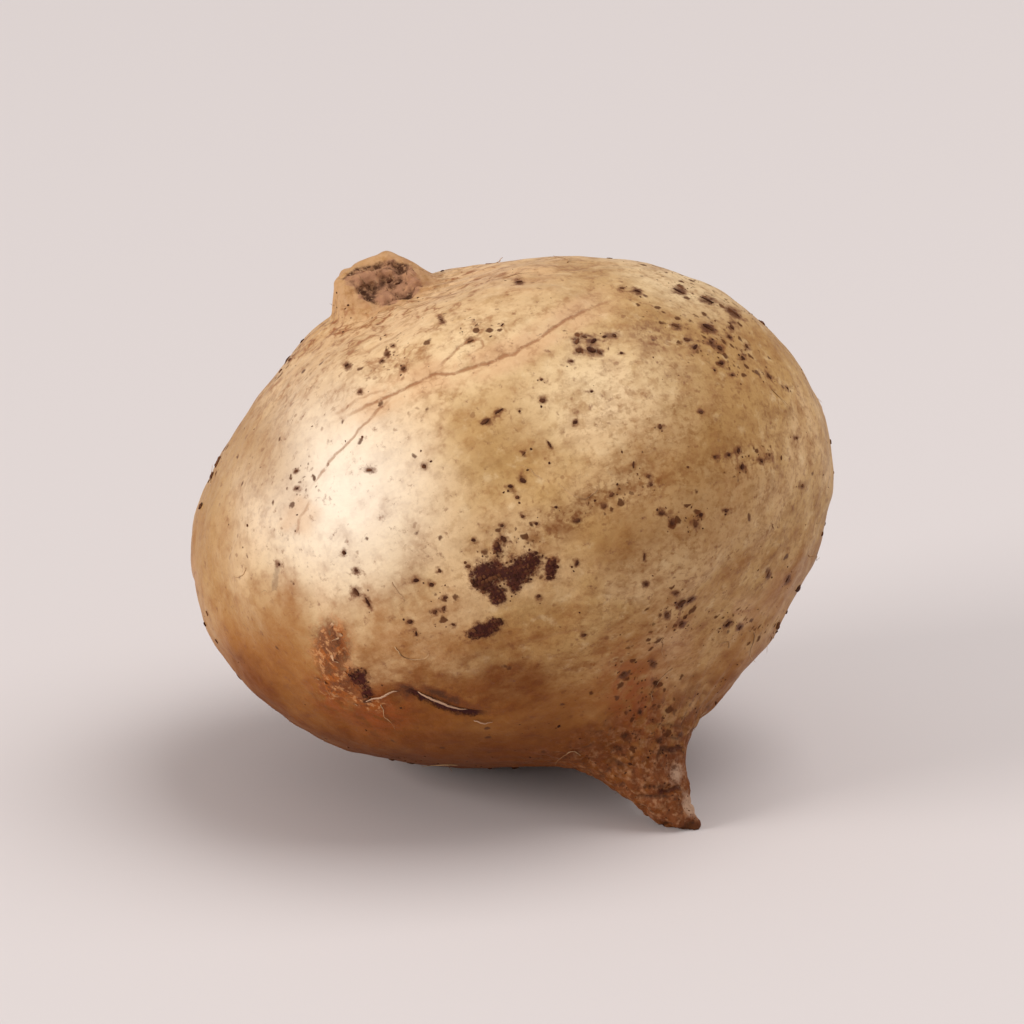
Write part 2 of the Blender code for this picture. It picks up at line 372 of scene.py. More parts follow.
# Patches of skin on the front, each with its middle, half sizes and tilt in millimetres and degrees. These
# are cleaner and creamier than the rest; the first, on the lit left, is partly painted light. The last patch
# is a painted highlight, nearly white, where the lamp's highlight falls on the lit left.
CREAM_AND_PAINTED_LIGHT_PATCHES = (
    (-27.0, -1.0, 15.0, 19.0),
    (-10.0, 27.0, 20.0, 8.0, 17),
    (13.0, 20.0, 12.0, 8.0),
    (27.0, 38.5, 10.0, 3.5, -22),
)
PAINTED_HIGHLIGHT_PATCH = (-30.0, 3.5, 12.5, 13.5)
# The outer skin is grazed off here, with rust-coloured soil rubbed in round it and above the taproot
GRAZE_PATCHES = ((-30.4, -23.0, 3.3, 4.8, 10), (-29.0, -28.6, 3.8, 3.2, -30), (-24.0, -32.0, 3.0, 1.2, -15))
RUSTY_PATCHES = ((-22.8, -33.8, 4.8, 3.0, -10), (-30.0, -31.5, 4.0, 2.2, -40), (21.0, -32.0, 4.0, 8.0, 20))
# Brown scurf, painted shade that darkens the skin at its left edge, low left and right side, and brown bands
# of fine scurf
SCURF_PATCHES = (
    (34.0, 4.0, 20.0, 26.0),
    (13.0, 1.0, 15.0, 3.6, 24),
    (11.0, -0.5, 8.0, 1.8, 32),
    (28.0, 5.5, 13.0, 2.4, 14),
    (20.0, -23.0, 20.0, 9.0, 17),
    (-12.2, 39.0, 3.4, 2.4),
    (-41.0, 12.0, 4.0, 14.0),
)
PAINTED_SHADE_PATCHES = ((-53.0, -1.0, 6.5, 22.0), (-40.0, -24.0, 12.0, 8.0, -40), (-46.0, 14.0, 6.0, 12.0, 35),
                  (31.5, 5.0, 10.0, 12.0), (21.0, -3.0, 10.0, 6.0, 20))
BROWN_BANDS = ((11.0, -0.5, 9.0, 2.0, 32), (28.0, 6.0, 14.0, 2.6, 14), (24.0, 29.5, 4.0, 2.0, -20))
# Where the golden and brown colours reach up the front: soil stain, with painted warm bounce light in the
# golden one and painted shade of the low front in the brown ones. Then a shallow gouge beside the crack
GOLDEN_STAIN_AND_BOUNCE_PATCH = (-18.0, -22.0, 18.0, 7.0)
STAIN_AND_SHADE_PATCHES = ((-20.0, -34.0, 16.0, 7.5), (-2.5, -29.0, 12.0, 6.5, 8))
# Both gouge patches are painted shade: in a hollow at the crack's end, and above the crack's strip
GOUGE_AND_SHADE_PATCHES = ((-17.6, -30.2, 2.0, 1.3, -10), (-11.6, -31.1, 4.8, 0.9, -18))
# Where the outer skin is rubbed off the taproot
RUBBED_PATCHES = ((27.8, -43.9, 1.1, 1.9, -5), (30.2, -49.4, 1.2, 2.2, 25))

# Creases and wrinkles as seen from the front: how strong each is, then the points that it runs through.
# Those of one list lie apart, and a wrinkle may cross a crease.
CREASES = (
    (1.0, (21.1, 37.0), (16.9, 35.8), (12.8, 34.2), (8.6, 32.0), (4.4, 29.2), (0.3, 26.7), (-4.8, 24.9),
     (-9.8, 23.4), (-13.0, 23.2), (-17.3, 21.2), (-21.4, 19.1), (-25.6, 17.0), (-32.2, 14.2)),
    (0.5, (-8.3, 39.1), (-3.7, 40.0), (1.0, 39.2), (4.6, 39.3), (9.2, 39.5)),
    (0.6, (-37.0, -4.5), (-35.6, -1.0), (-33.5, 2.5)),
    (0.5, (36.5, -16.9), (39.2, -16.7), (42.0, -16.2)),
    (0.4, (23.0, -24.0), (27.5, -22.3), (31.0, -21.8)),
    (0.5, (46.0, -9.5), (45.0, -14.0), (42.5, -18.0)),
)
WRINKLES = (
    (0.8, (-19.6, 20.4), (-21.4, 18.0), (-25.6, 13.8), (-30.6, 8.8), (-34.8, 2.9)),
    (0.8, (-13.0, 23.6), (-11.6, 25.0), (-9.0, 27.5), (-7.6, 28.9), (-5.4, 29.1), (-4.9, 27.8), (-6.9, 26.6)),
    (0.5, (6.3, 40.6), (11.0, 41.1), (15.2, 42.0)),
    (0.5, (-26.6, 26.0), (-24.0, 27.2), (-21.5, 29.0)),
    (0.5, (-30.5, 16.0), (-25.5, 18.8), (-20.5, 20.9)),
    (0.7, (-26.2, 34.9), (-23.3, 35.9), (-20.3, 37.2)),
    (0.4, (3.5, -22.0), (8.0, -20.4), (13.0, -19.6)),
    (0.5, (50.0, -6.0), (48.6, -11.0), (46.8, -14.5)),
    (0.4, (26.5, -26.5), (30.0, -25.5), (33.5, -23.5)),
)
# Cracks are painted as dark lines of shade; below the long crack's strip the line is also its painted shadow
CRACKS = (
    (1.0, (-19.2, -30.0), (-17.2, -30.3), (-15.0, -31.5), (-12.5, -32.5), (-9.9, -33.4), (-6.0, -33.9),
     (-3.0, -34.0)),
    (0.4, (-30.6, -19.6), (-28.8, -22.6), (-27.0, -25.6)),
    (0.9, (-25.0, 39.9), (-22.5, 41.2), (-20.5, 41.5), (-18.4, 40.6)),
    (0.9, (-22.4, 38.3), (-24.8, 38.0), (-26.5, 36.9)),
    (0.7, (24.0, -47.4), (26.0, -47.0), (28.4, -46.3), (29.4, -46.7)),
    (0.6, (26.4, -39.9), (27.6, -39.9), (28.8, -39.4)),
    (0.35, (-39.4, -8.8), (-40.0, -10.4), (-40.1, -13.8)),
)
# Circles of growth run round the sides that the photo hides: the heading and lean of each circle's axis,
# its angle from the axis, the middle and reach of the part that shows, and how strong it is
GROWTH_CIRCLES = (
    (60, 9.0, 84.0, 60, 60, 0.8),
    (200, 12.0, 71.0, 150, 46, 0.7),
    (20, 10.0, 108.0, 100, 50, 0.6),
    (300, 14.0, 60.0, 45, 40, 0.7),
)


def strokes(lines):
    """For each point, the distance in millimetres across the nearest line seen from the front, positive on
    one side of it, and its strength, which tapers to both ends."""
    distance, strength = np.full(len(plain), 9.0), np.zeros(len(plain))
    for shown, *corners in lines:
        corners = np.array(corners)
        sides = np.diff(corners, axis=0)
        lengths = np.linalg.norm(sides, axis=1)
        done = np.concatenate([[0], np.cumsum(lengths)])
        nearest, across, along = np.full(len(plain), 99.0), np.zeros(len(plain)), np.zeros(len(plain))
        for corner, way, length, before in zip(corners, sides / lengths[:, None], lengths, done):
            off = seen[:, :2] - corner
            reached = np.clip(off @ way, 0, length)
            gap = np.linalg.norm(off - reached[:, None] * way, axis=1)
            side = np.where(off @ np.array([-way[1], way[0]]) < 0, -gap, gap)
            across = np.where(gap < nearest, side, across)
            along = np.where(gap < nearest, before + reached, along)
            nearest = np.minimum(gap, nearest)
        tapered = shown * fall(np.abs(2 * along / done[-1] - 1), 0.6, 0.4)
        here = tapered * fall(nearest, 1.5, 2) * (seen[:, 2] > 0)
        distance, strength = np.where(here > strength, across, distance), np.maximum(here, strength)
    return distance, strength


def growth_circles():
    """For each point, the distance in millimetres across the nearest circle of growth, and its strength."""
    distance, strength = np.full(len(plain), 9.0), np.zeros(len(plain))
    for heading, lean, angle, along_middle, reach, shown in GROWTH_CIRCLES:
        axis = leaning(math.radians(heading), math.radians(lean))
        across = (np.arccos(np.clip(d_all @ axis, -1, 1)) - math.radians(angle)) * radius_all * 1000
        across += 0.9 * wave_sum(plain, 0.016, 29, 20)
        along = np.abs((np.degrees(turn_all) - along_middle + 180) % 360 - 180)
        here = shown * fall(along, reach * 0.6, reach * 0.5) * fall(np.abs(across), 1.5, 2) * (seen[:, 2] < 5)
        distance, strength = np.where(here > strength, across, distance), np.maximum(here, strength)
    return distance, strength


# Fine relief, in metres, on top of the plain form
RIPPLE_HEIGHT = 0.00016
RIPPLE_LENGTH = 0.013
GRAIN_HEIGHT = 0.000045
GRAIN_LENGTH = 0.0042
DENTS = 120
DENT_RADIUS = (0.0012, 0.0042)
DENT_DEPTH = (0.00006, 0.00028)
CREASE_CUT = 0.00026
WRINKLE_CUT = 0.8 * CREASE_CUT
LIP_HEIGHT = 0.5 * CREASE_CUT
CRACK_CUT = 0.00065
CLOD_HEIGHT = 0.00022
CLOD_LENGTH = 0.0022
GRAZE_DEPTH = 0.00018
GRAZE_LENGTH = 0.0024
RUBBED_DEPTH = 0.00022
GOUGE_DEPTH = 0.00025
CROWN_FOLD_DEPTH = 0.00020
CROWN_FOLDS = (13, 21, 34)
STUMP_RIDGES = (5, 9, 14)
STUMP_RIDGE_HEIGHT = 0.00011
SCAR_FOLD_HEIGHT = 0.00046
SCAR_RIM_HEIGHT = 0.00030
ROOT_WRINKLES = (17, 26, 41)
ROOT_WRINKLE_HEIGHT = 0.00010
ROOT_ROUGHNESS = 0.00016
ROOT_RING_DEPTH = 0.00042
ROOT_RING_SPACING = 0.0024
# Half widths of the lines, in millimetres, and how far a crease's raised lip is from it
CREASE_WIDTH = 0.8
LIP_WIDTH = 0.9
LIP_OFFSET = 1.7
WRINKLE_WIDTH = 0.7
CRACK_WIDTH = 0.5
# The broken face of the stump: its middle down the slope, its half sizes down and across it, and its waver
SCAR_SHIFT = 0.0016
SCAR_HALF_DOWN = 0.0044
SCAR_HALF_ACROSS = 0.0051
SCAR_WAVER = 0.09

stump_off = off_axis(d_all, radius_all, STEM)
stump_away = np.where(d_all @ STEM > 0, np.linalg.norm(stump_off, axis=1), 1.0)
from_root = np.arccos(np.clip(d_all @ TIP, -1, 1))
clod = all_marked(CLODS)
fleck = all_marked(FLECK_CLUSTERS)
graze = all_marked(GRAZE_PATCHES)
gouge_and_shade = all_marked(GOUGE_AND_SHADE_PATCHES)
rubbed = all_marked(RUBBED_PATCHES)
circle, circle_shown = growth_circles()
crease, crease_shown = strokes(CREASES)
crease = np.where(circle_shown > crease_shown, circle, crease)
crease_shown = np.maximum(circle_shown, crease_shown)
wrinkle, wrinkle_shown = strokes(WRINKLES)
crack, crack_shown = strokes(CRACKS)

draw = np.random.RandomState(21)
relief = RIPPLE_HEIGHT * wave_sum(plain, RIPPLE_LENGTH, 31, 40)
relief += GRAIN_HEIGHT * wave_sum(plain, GRAIN_LENGTH, 32, 60)
for _ in range(DENTS):
    place = unit(draw.normal(size=3))
    reach = draw.uniform(*DENT_RADIUS)
    depth = draw.uniform(*DENT_DEPTH)
    near = np.linalg.norm(plain - plain[np.argmax(d_all @ place)], axis=1) / reach
    relief -= depth * np.exp(-(near**2))
relief -= CREASE_CUT * crease_shown * np.exp(-((crease / CREASE_WIDTH) ** 2))
relief += LIP_HEIGHT * crease_shown * np.exp(-(((crease + LIP_OFFSET) / LIP_WIDTH) ** 2))
relief -= WRINKLE_CUT * wrinkle_shown * np.exp(-((wrinkle / WRINKLE_WIDTH) ** 2))
relief -= CRACK_CUT * crack_shown * np.exp(-((crack / CRACK_WIDTH) ** 2))
relief += CLOD_HEIGHT * fall(1 - clod, 0.45, 0.3) * (1 + 0.5 * wave_sum(plain, CLOD_LENGTH, 37, 40))
relief -= GRAZE_DEPTH * fall(1 - graze, 0.5, 0.3) * (1 + 0.7 * wave_sum(plain, GRAZE_LENGTH, 42, 40))
relief -= RUBBED_DEPTH * fall(1 - rubbed, 0.5, 0.2) + GOUGE_DEPTH * gouge_and_shade

# Folds of skin run out from the foot of the stump, and low ridges up its flank. Its broken face is folded,
# with a rim round it.
wander = 0.35 * wave_sum(plain, 0.016, 33, 20)
fold = sum(np.cos(count * turn_all + wander * count / 9 + count) for count in CROWN_FOLDS) / len(CROWN_FOLDS)
relief += CROWN_FOLD_DEPTH * fold * fall(stump_away, 0.010, 0.014) * (1 - fall(stump_away, 0.0065, 0.003))
ridge = sum(np.cos(count * turn_all + wander * count / 5 - count) for count in STUMP_RIDGES)
relief += STUMP_RIDGE_HEIGHT * ridge * fall(stump_away, 0.0082, 0.003) * (1 - fall(stump_away, 0.0035, 0.002))
downhill_off = stump_off @ DOWNHILL
level_off = np.sqrt(np.maximum(stump_away**2 - downhill_off**2, 0))
scar_distance = np.hypot((downhill_off - SCAR_SHIFT) / SCAR_HALF_DOWN, level_off / SCAR_HALF_ACROSS)
scar_distance += SCAR_WAVER * wave_sum(plain, 0.0034, 34, 20)
scar = fall(scar_distance, 0.75, 0.45)
scar_hollow = 0.6 * wave_sum(plain, 0.0048, 35, 40) + 0.4 * wave_sum(plain, 0.0019, 39, 40)
relief -= SCAR_FOLD_HEIGHT * scar_hollow * scar
rim_here = np.clip(0.45 - downhill_off / 0.0050, 0, 1) * (stump_away < 0.02)
relief += SCAR_RIM_HEIGHT * np.exp(-(((scar_distance - 1.15) / 0.22) ** 2)) * rim_here

# Wrinkles run up from the taproot, which is rough, and pinched by broken rings
root_wrinkle = sum(np.cos(count * turn_all + 3 * wander + count) for count in ROOT_WRINKLES)
root_wrinkle = ROOT_WRINKLE_HEIGHT * root_wrinkle * fall(from_root, 0.20, 0.55)
relief += root_wrinkle * np.clip(1 - 1.2 * root_share, 0, 1)
on_root = np.clip(root_share * 5, 0, 1)
root_grain = wave_sum(plain, 0.0026, 43, 50)
relief += ROOT_ROUGHNESS * root_grain * on_root
ring_phase = 2 * math.pi * plain @ TIP / ROOT_RING_SPACING + 2.4 * wave_sum(plain, 0.008, 36, 20)
pinch = np.exp(3.0 * (np.cos(ring_phase) - 1)) * np.clip(0.4 + 0.6 * wave_sum(plain, 0.006, 40, 20), 0, 1.4)
relief -= ROOT_RING_DEPTH * pinch * np.clip(root_share * 3, 0, 1)

hidden = seen[:, 2] < 12
for _ in range(FLECK_CLUSTERS_ELSEWHERE):
    place = unit(draw.normal(size=3))
    reach = draw.uniform(0.001, 0.0065)
    near = np.linalg.norm(plain - plain[np.argmax(d_all @ place)], axis=1) / reach
    fleck = np.maximum(fleck, fall(near, 0, 2) * hidden)

skin_rows = laid.reshape(SKIN_RINGS + 1, SKIN_SIDES, 3)
skin_rows = skin_rows + row_normals(skin_rows) * relief.reshape(SKIN_RINGS + 1, SKIN_SIDES, 1)
skin_rows[..., 2] = np.maximum(skin_rows[..., 2], node_low[2])
skin_normals = row_normals(skin_rows)

# Stains of the ground on the low side, darker towards the bottom: partly soil stain, and partly painted
# light, the golden one painted warm bounce light and the brown one painted shade. Each is full up to a
# height, fades over a width, and wavers; patches on the front are as strong as the numbers say, and a strip
# beside the taproot stays paler.
LOW_SIDE_WAVER = 0.0030
GOLDEN_FULL, GOLDEN_FADE, GOLDEN_STAIN_AND_BOUNCE_STRENGTH = 0.014, 0.040, 0.52
BROWN_FULL, BROWN_FADE, STAIN_AND_SHADE_STRENGTH = 0.008, 0.028, 0.80
PALER_STRIP = (29.0, -31.0, 5.0, 12.0, -35)
PALER_SHARE = 0.6
SPECK_STAIN_MARGIN = 0.35

scurf_round = 0.7 * fall(np.abs(wave_sum(plain, 0.05, 41, 20) - 1.0), 0.2, 0.8) * hidden
low_side_waver = wave_sum(plain, 0.019, 38, 40)
low_side_height = laid[:, 2] + LOW_SIDE_WAVER * low_side_waver
root_side = 1 - PALER_SHARE * marked(*PALER_STRIP)
golden_stain_and_bounce_front = GOLDEN_STAIN_AND_BOUNCE_STRENGTH * marked(*GOLDEN_STAIN_AND_BOUNCE_PATCH)
golden_stain_and_bounce = np.maximum(fall(low_side_height, GOLDEN_FULL, GOLDEN_FADE), golden_stain_and_bounce_front) * root_side
stain_and_shade_front = STAIN_AND_SHADE_STRENGTH * all_marked(STAIN_AND_SHADE_PATCHES)
stain_and_shade_below = np.maximum(fall(low_side_height, BROWN_FULL, BROWN_FADE), stain_and_shade_front) * root_side
stain_margin = np.array([0, 0, SPECK_STAIN_MARGIN, SPECK_STAIN_MARGIN, 0])
skin_layers = {
    "clod": clod,
    "fleck": fleck,
    "speck_stain": all_marked(np.array(SPECKS) + stain_margin),
    "cream_and_painted_light": all_marked(CREAM_AND_PAINTED_LIGHT_PATCHES),
    "painted_highlight": marked(*PAINTED_HIGHLIGHT_PATCH),
    "painted_shade": all_marked(PAINTED_SHADE_PATCHES),
    "band": all_marked(BROWN_BANDS),
    "graze": graze,
    "gouge_and_shade": gouge_and_shade,
    "rusty": all_marked(RUSTY_PATCHES),
    "rubbed": rubbed,
    "scurf": np.maximum(all_marked(SCURF_PATCHES), scurf_round),
    "golden_stain_and_bounce": golden_stain_and_bounce,
    "stain_and_shade_below": stain_and_shade_below,
    "crown": fall(stump_away, 0.014, 0.036),
    "stump": fall(stump_away, 0.0065, 0.004),
    "foot": fall(np.abs(stump_away - 0.0098), 0, 0.0016),
    "scar": scar,
    "scar_hollow": scar_hollow,
    "root_foot": fall(from_root + 0.04 * low_side_waver, 0.10, 0.38),
    "root_end": fall(1 - root_share, 0.02, 0.06),
    "ring": np.clip(pinch, 0, 1) * np.clip(root_share * 3, 0, 1),
    "crease": crease,
    "crease_shown": crease_shown,
    "wrinkle": wrinkle,
    "wrinkle_shown": wrinkle_shown,
    "crack": crack,
    "crack_shown": crack_shown,
}
skin_mesh = rolled_mesh("jicama_skin", skin_rows[None])
for layer_name, layer in skin_layers.items():
    rows = layer.reshape(SKIN_RINGS + 1, SKIN_SIDES)
    packed = np.concatenate([rows[1:-1].ravel(), [rows[0].mean(), rows[-1].mean()]])
    made = skin_mesh.attributes.new(layer_name, "FLOAT", "POINT")
    made.data.foreach_set("value", packed.astype(np.float32))


def add_node(tree, kind, sockets=(), **settings):
    """A shader node with its settings, and with each named or numbered socket given a value or a link."""
    made = tree.nodes.new("ShaderNode" + kind)
    for name, value in settings.items():
        setattr(made, name, value)
    for name, value in dict(sockets).items():
        if isinstance(value, bpy.types.NodeSocket):
            tree.links.new(value, made.inputs[name])
        else:
            made.inputs[name].default_value = value
    return made.outputs


def new_material(name):
    """A material with a bare Principled shader: its node tree and the shader."""
    material = bpy.data.materials.new(name)
    material.use_nodes = True
    return material, material.node_tree, material.node_tree.nodes["Principled BSDF"]


def math_node(tree, operation, first, second):
    """The result of one Math node."""
    return add_node(tree, "Math", {0: first, 1: second}, operation=operation)[0]


def plus(tree, first, second):
    """The sum of two values."""
    return math_node(tree, "ADD", first, second)


def minus(tree, first, second):
    """The first value less the second."""
    return math_node(tree, "SUBTRACT", first, second)


def times(tree, first, second):
    """The product of two values."""
    return math_node(tree, "MULTIPLY", first, second)


def most(tree, first, second):
    """The larger of two values."""
    return math_node(tree, "MAXIMUM", first, second)


def step_up(tree, value, low, high, top=1.0):
    """0 below low, top above high, and a smooth S between them; low above high turns it round."""
    sockets = {"Value": value, "From Min": low, "From Max": high, "To Max": top}
    return add_node(tree, "MapRange", sockets, interpolation_type="SMOOTHSTEP")["Result"]


def tint(tree, amount, under, over):
    """Colour over laid on colour under, by an amount from 0 to 1."""
    return add_node(tree, "Mix", {0: amount, 6: under, 7: over}, data_type="RGBA")[2]


def layer_value(tree, name):
    """A number stored on the skin's points."""
    return add_node(tree, "Attribute", attribute_name=name)["Fac"]


def sum_of(tree, *shares):
    """The sum of values, each times its share."""
    total = 0.0
    for value, share in shares:
        total = plus(tree, total, times(tree, value, share))
    return total


def within(tree, name, pattern):
    """A pattern, or one number, as strong as a stored layer lets it show."""
    return times(tree, layer_value(tree, name), pattern)


def frayed(tree, name, ragged, share):
    """A stored layer with a share of ragged noise added, so that a step in it has a frayed edge."""
    return plus(tree, layer_value(tree, name), times(tree, ragged, share))


def noise(tree, at, size, detail=3.0, rough=0.55, stretch=None):
    """Noise whose blotches are about one size across, in metres, stretched along an axis if asked."""
    if stretch is not None:
        at = add_node(tree, "Mapping", {"Vector": at, "Scale": stretch})["Vector"]
    sockets = {"Vector": at, "Scale": 1 / size, "Detail": detail, "Roughness": rough}
    return add_node(tree, "TexNoise", sockets)["Fac"]


def spots(tree, at, spacing, share, radius, soft=0.06):
    """Irregular spots: a share of the cells of a Voronoi pattern hold one. Most radii are small, and none
    is more than the given part of the spacing. 1 inside and 0 outside."""
    cells = add_node(tree, "TexVoronoi", {"Vector": at, "Scale": 1 / spacing})
    chance = add_node(tree, "SeparateColor", {0: cells["Color"]})
    held = step_up(tree, plus(tree, chance[0], share), 1.0, 1.01)
    reach = times(tree, math_node(tree, "POWER", chance[1], 1.6), radius)
    edge = minus(tree, plus(tree, reach, 0.2 * radius), cells["Distance"])
    return times(tree, step_up(tree, edge, 0.0, soft), held)


def net(tree, at, size, half_width):
    """Lines along the cell borders of a Voronoi pattern, with a half width given as a part of its size."""
    sockets = {"Vector": at, "Scale": 1 / size}
    border = add_node(tree, "TexVoronoi", sockets, feature="DISTANCE_TO_EDGE")["Distance"]
    return step_up(tree, border, half_width, 0.0)


def line_of(tree, name, wobble, half_width):
    """A line where a stored distance, in millimetres, is zero. It wobbles, and is as strong as the layer
    that says where it shows."""
    sway = times(tree, minus(tree, wobble, 0.5), 1.1)
    off = math_node(tree, "ABSOLUTE", plus(tree, layer_value(tree, name), sway), 0.0)
    drawn = step_up(tree, off, half_width, half_width * 0.2)
    return times(tree, drawn, layer_value(tree, name + "_shown"))


TAN = (0.54, 0.325, 0.124, 1)
DEEP_TAN = (0.36, 0.180, 0.054, 1)
CREAM = (0.80, 0.590, 0.340, 1)
# A painted highlight: near-white laid on the lit left where the lamp's highlight falls
PAINTED_HIGHLIGHT_TONE = (0.95, 0.850, 0.720, 1)
PINK_TAN = (0.66, 0.400, 0.215, 1)
ROSE = (0.30, 0.118, 0.045, 1)
SCURF_BROWN = (0.250, 0.108, 0.032, 1)
# Golden and orange-brown of the low side: soil stain, with painted warm bounce light and painted shade
GOLDEN_STAIN_AND_BOUNCE_TONE = (0.310, 0.110, 0.016, 1)
BROWN_STAIN_AND_SHADE_TONE = (0.165, 0.040, 0.003, 1)
RED_BROWN = (0.165, 0.045, 0.012, 1)
RUST = (0.33, 0.086, 0.012, 1)
PEACH = (0.64, 0.310, 0.125, 1)
RED_ORANGE = (0.300, 0.066, 0.010, 1)
ROOT_PINK = (0.48, 0.250, 0.125, 1)
RUBBED_PINK = (0.54, 0.350, 0.235, 1)
FLECK_BROWN = (0.090, 0.026, 0.007, 1)
SOIL_AND_CRACK_SHADE = (0.045, 0.007, 0.006, 1)
SOIL_RED = (0.110, 0.026, 0.010, 1)
SCAR_BROWN_AND_SHADE = (0.070, 0.026, 0.012, 1)
SCAR_TAN = (0.38, 0.190, 0.105, 1)
STUMP_TAN = (0.47, 0.255, 0.118, 1)


def skin_material():
    """The skin's colour, from its ground tones up to the soil, and the relief too fine for the mesh."""
    material, tree, shader = new_material("jicama_skin")
    upright = POSE.transposed()
    turned_back = {
        "Vector": add_node(tree, "TexCoord")["Object"],
        "Location": -(upright @ Vector(middle)),
        "Rotation": upright.to_euler(),
    }
    at = add_node(tree, "Mapping", turned_back)["Vector"]
    wobble = add_node(tree, "TexNoise", {"Vector": at, "Scale": 700.0, "Detail": 3.0})["Color"]
    wobble = add_node(tree, "VectorMath", {0: wobble, 1: (0.5, 0.5, 0.5)}, operation="SUBTRACT")["Vector"]
    wobble = add_node(tree, "VectorMath", {0: wobble, "Scale": 0.0016}, operation="SCALE")["Vector"]
    bent = add_node(tree, "VectorMath", {0: at, 1: wobble}, operation="ADD")["Vector"]

    # Noises from broad to fine that the tones below share
    broad = noise(tree, at, 0.030, 3.0)
    cloudy = noise(tree, at, 0.0070, 5.0, 0.62)
    middling = noise(tree, at, 0.0026, 4.0, 0.6)
    fine = noise(tree, at, 0.0010, 4.0, 0.6)
    ragged = noise(tree, at, 0.0017, 5.0, 0.7)
    streaky = noise(tree, at, 0.0040, 5.0, 0.66, stretch=(1.0, 1.0, 1.8))

    colour = TAN

    def lay(amount, tone):
        """A tone laid over the colour so far, by an amount from 0 to 1."""
        nonlocal colour
        colour = tint(tree, amount, colour, tone)

    # Ground tones: tan, with cream where it is wiped clean, and on the lit left partly as painted light, and
    # pink towards the crown
    lay(step_up(tree, broad, 0.40, 0.66, 0.45), DEEP_TAN)
    lay(plus(tree, within(tree, "cream_and_painted_light", 0.9), step_up(tree, broad, 0.54, 0.32, 0.4)), CREAM)
    lay(step_up(tree, broad, 0.50, 0.40, 0.26), PINK_TAN)
    crown = layer_value(tree, "crown")
    lay(times(tree, crown, 0.5), PINK_TAN)
    lay(step_up(tree, cloudy, 0.48, 0.72, 0.38), DEEP_TAN)
    lay(step_up(tree, middling, 0.51, 0.68, 0.42), DEEP_TAN)
    lay(step_up(tree, middling, 0.46, 0.28, 0.4), CREAM)
    # Scurf, bands, the painted highlight, painted shade at the left edge, low left and right side, and a pink
    # flush along the creases
    scurf = plus(tree, within(tree, "scurf", 0.9), 0.30)
    scurfy = plus(tree, step_up(tree, streaky, 0.47, 0.63, 0.44), step_up(tree, fine, 0.50, 0.66, 0.46))
    lay(times(tree, scurf, scurfy), SCURF_BROWN)
    banded = plus(tree, step_up(tree, middling, 0.42, 0.60, 0.5), step_up(tree, fine, 0.46, 0.60, 0.4))
    lay(within(tree, "band", banded), RED_BROWN)
    # The painted highlight, near-white on the lit left
    painted_highlight = layer_value(tree, "painted_highlight")
    lay(times(tree, painted_highlight, 0.70), PAINTED_HIGHLIGHT_TONE)
    # Painted shade: darker skin at the left edge, low left and right side
    lay(within(tree, "painted_shade", 0.70), DEEP_TAN)
    lay(within(tree, "crease_shown", step_up(tree, cloudy, 0.30, 0.55, 0.7)), PINK_TAN)

    # Stains of the low side, partly painted light: golden, partly painted warm bounce light, then brown with
    # darker streaks, partly painted shade, then rust
    blotch = sum_of(tree, (cloudy, 0.9), (streaky, 0.5))
    lay(step_up(tree, plus(tree, layer_value(tree, "golden_stain_and_bounce"), blotch), 0.64, 1.56, 0.90), GOLDEN_STAIN_AND_BOUNCE_TONE)
    stained_and_shaded = step_up(tree, plus(tree, layer_value(tree, "stain_and_shade_below"), blotch), 0.78, 1.72, 0.92)
    lay(stained_and_shaded, BROWN_STAIN_AND_SHADE_TONE)
    lay(times(tree, stained_and_shaded, step_up(tree, streaky, 0.50, 0.66, 0.6)), RED_BROWN)
    lay(within(tree, "rusty", step_up(tree, middling, 0.36, 0.56, 0.85)), RED_ORANGE)

    # The taproot: mottled red-brown and pink, with dark pits and rings
    root_foot = layer_value(tree, "root_foot")
    lay(times(tree, root_foot, step_up(tree, middling, 0.42, 0.58, 0.85)), RED_BROWN)
    lay(times(tree, root_foot, step_up(tree, fine, 0.46, 0.72, 0.6)), ROOT_PINK)
    lay(times(tree, root_foot, step_up(tree, ragged, 0.44, 0.35, 0.7)), SCAR_BROWN_AND_SHADE)
    lay(within(tree, "ring", 0.8), SCAR_BROWN_AND_SHADE)

    # The graze: rust and peach fibres with dark gaps
    graze_tone = tint(tree, step_up(tree, middling, 0.42, 0.58), RUST, RED_BROWN)
    graze_tone = tint(tree, step_up(tree, ragged, 0.52, 0.61, 0.80), graze_tone, PEACH)
    graze_tone = tint(tree, step_up(tree, ragged, 0.45, 0.37, 0.85), graze_tone, SCAR_BROWN_AND_SHADE)
    lay(step_up(tree, frayed(tree, "graze", ragged, 1.2), 0.85, 1.40, 0.92), graze_tone)

